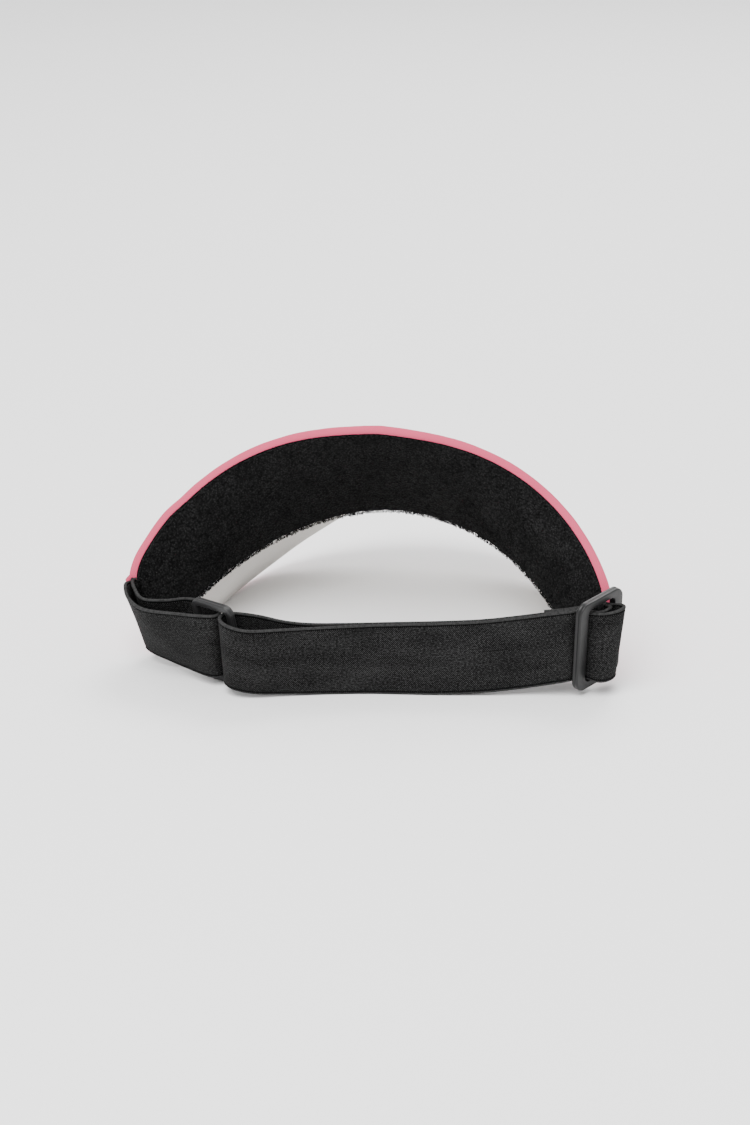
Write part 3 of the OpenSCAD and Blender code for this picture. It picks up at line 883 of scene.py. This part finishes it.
tail_ends = []
for t in (0.3, 0.75):
    for i in range(8):
        low, high, out = web_frame(full_route, t)
        side = (high - low) / WEB_W
        foot, head = 1.8 + 3.4 * i, 1.8 + 3.4 * (i + 0.7)
        lift = out * (WEB_T / 2 + 0.05)
        tail_ends.append((low + side * foot + lift, low + side * head + lift, out))
thread_row("tail_thread", tail_ends, BLACK_THREAD, "slider", "black_thread", "tail_stitching")


# ---- Moulded ring and slider ----
def rounded_loop(w, h, r, sides=14, arc=10):
    """Points round a rectangle w by h with corners of radius r, starting at the right."""
    points = []
    corners = [(w / 2 - r, h / 2 - r, 0), (r - w / 2, h / 2 - r, 90),
               (r - w / 2, r - h / 2, 180), (w / 2 - r, r - h / 2, 270)]
    for k, (x, y, start) in enumerate(corners):
        for i in range(arc + 1):
            t = math.radians(start + 90 * i / arc)
            points.append((x + r * math.cos(t), y + r * math.sin(t)))
        nx, ny, turn = corners[(k + 1) % 4]
        t = math.radians(turn)
        end = (nx + r * math.cos(t), ny + r * math.sin(t))
        last = points[-1]
        points += [(mix(last[0], end[0], i / sides), mix(last[1], end[1], i / sides))
                   for i in range(1, sides)]
    return np.array(points)


def turn(axis, degrees):
    """Rotation matrix about x or z."""
    c, s = math.cos(math.radians(degrees)), math.sin(math.radians(degrees))
    return np.array([[1, 0, 0], [0, c, -s], [0, s, c]] if axis == "x" else
                    [[c, -s, 0], [s, c, 0], [0, 0, 1]])


def moulded_frame(name, w, h, r, hole, hole_r, thick, edge, groove, place, bar=None):
    """A moulded loop with rounded edges and a parting groove round its rim, and a bar across."""
    half = thick / 2
    section = []
    for k in range(6):
        t = math.pi / 2 * k / 5
        section.append(("o", edge * (1 - math.sin(t)), -half + edge * (1 - math.cos(t))))
    section += [("o", 0, -groove * 2), ("o", groove, -groove * 0.7), ("o", groove, groove * 0.7),
                ("o", 0, groove * 2)]
    for k in range(6):
        t = math.pi / 2 * k / 5
        section.append(("o", edge * (1 - math.cos(t)), half - edge * (1 - math.sin(t))))
    for k in range(6):
        t = math.pi / 2 * k / 5
        section.append(("i", edge * (1 - math.sin(t)), half - edge * (1 - math.cos(t))))
    for k in range(6):
        t = math.pi / 2 * k / 5
        section.append(("i", edge * (1 - math.cos(t)), -half + edge * (1 - math.sin(t))))
    loops = []
    for kind, inset, z in section:
        if kind == "o":
            flat = rounded_loop(w - 2 * inset, h - 2 * inset, max(r - inset, 0.05))
        else:
            flat = rounded_loop(hole[0] + 2 * inset, hole[1] + 2 * inset, hole_r + inset)
        loops.append(np.column_stack([flat, np.full(len(flat), z)]))
    rings = np.array(loops)
    n, m = rings.shape[:2]
    verts = rings.reshape(-1, 3)
    faces = [(i * m + j, i * m + (j + 1) % m, ((i + 1) % n) * m + (j + 1) % m,
              ((i + 1) % n) * m + j) for i in range(n) for j in range(m)]
    if bar:
        width, deep, length = bar
        base = len(verts)
        around = rounded_loop(width, deep, 0.6, sides=4, arc=4)
        steps = 14
        extra = [(x, mix(-length / 2, length / 2, i / steps), z)
                 for i in range(steps + 1) for x, z in around]
        verts = np.concatenate([verts, np.array(extra)])
        faces += [tuple(reversed(f)) for f in grid_faces(steps + 1, len(around), True, base)]
    obj = new_object(name, verts @ place[0].T + place[1], faces,
                     np.column_stack([verts[:, 0], verts[:, 1]]))
    face_outwards(obj)
    return obj


slider_turn = turn("z", SLIDER_YAW) @ turn("x", 97) @ turn("z", SLIDER_ROLL)
dress(moulded_frame("slider_buckle", 26, 39.5, 4.6, (15.8, 33), 1.9, 3, 0.5, 0.12,
                    (slider_turn, SLIDER_AT), bar=(3.2, 2.2, 35)),
      PLASTIC, "slider", "hardware_plastic", "slider")
ring_turn = turn("z", 151.5) @ turn("x", 14) @ turn("x", 90)
ring_centre = (np.array([60.6, 85.8, 1.45 * math.sin(math.radians(14))])
               + turn("z", 151.5) @ turn("x", 14) @ np.array([9.2, 0, 19.2]))
dress(moulded_frame("strap_ring", 21.3, 38.4, 4, (15.5, 32.6), 1.1, 2.9, 0.75, 0.22,
                    (ring_turn, ring_centre)), RING_PLASTIC, "ring", "hardware_plastic", "ring")


# ---- Floor, light and camera ----
def floor():
    mesh = bpy.data.meshes.new("floor")
    r = 14.0
    mesh.from_pydata([(-r, -r, 0), (r, -r, 0), (r, r, 0), (-r, r, 0)], [], [(0, 1, 2, 3)])
    obj = bpy.data.objects.new("floor", mesh)
    bpy.context.scene.collection.objects.link(obj)
    k = Nodes("floor_paper", 0.75, Specular_IOR_Level=0.2)
    mottle = k.noise(k.object(1.0), 1.5, 2)
    k.colour(k.ramp(mottle, (0.3, grey(0.95)), (0.7, grey(0.96))))
    mesh.materials.append(k.mat)


floor()


def area(name, place, target, size, power):
    """A soft round lamp at a place, facing a target."""
    lamp = bpy.data.lights.new(name, "AREA")
    lamp.shape = "DISK"
    lamp.size = size
    lamp.energy = power
    obj = bpy.data.objects.new(name, lamp)
    obj.location = place
    way = np.array(target) - np.array(place)
    obj.rotation_euler = Vector(way).to_track_quat("-Z", "Y").to_euler()
    bpy.context.scene.collection.objects.link(obj)


area("key_light", (0.25, 1.15, 1.7), (0, 0, 0.03), 1.6, 68)
area("rim_light", (-0.2, -1.3, 1.5), (0, 0, 0.03), 1.2, 28)
world = bpy.data.worlds.new("studio")
world.use_nodes = True
world.node_tree.nodes["Background"].inputs["Color"].default_value = (1.0, 1.0, 1.0, 1)
world.node_tree.nodes["Background"].inputs["Strength"].default_value = 1.1
bpy.context.scene.world = world

CAMERA_AT = (-0.19419, 1.03018, 0.42068)
CAMERA_BACK = (-0.15705, 0.93746, 0.31068)
CAMERA_RIGHT = (-0.98626, -0.16522, 0)
cam = bpy.data.cameras.new("camera")
cam.lens = 85
cam.sensor_width = 36
cam.shift_x = -0.0631
cam.shift_y = -0.0958
cam.clip_end = 60
camera = bpy.data.objects.new("camera", cam)
bpy.context.scene.collection.objects.link(camera)
back = Vector(CAMERA_BACK).normalized()
right = Vector(CAMERA_RIGHT).normalized()
upward = back.cross(right)
camera.matrix_world = Matrix((
    (right.x, upward.x, back.x, CAMERA_AT[0]), (right.y, upward.y, back.y, CAMERA_AT[1]),
    (right.z, upward.z, back.z, CAMERA_AT[2]), (0, 0, 0, 1)))
bpy.context.scene.camera = camera
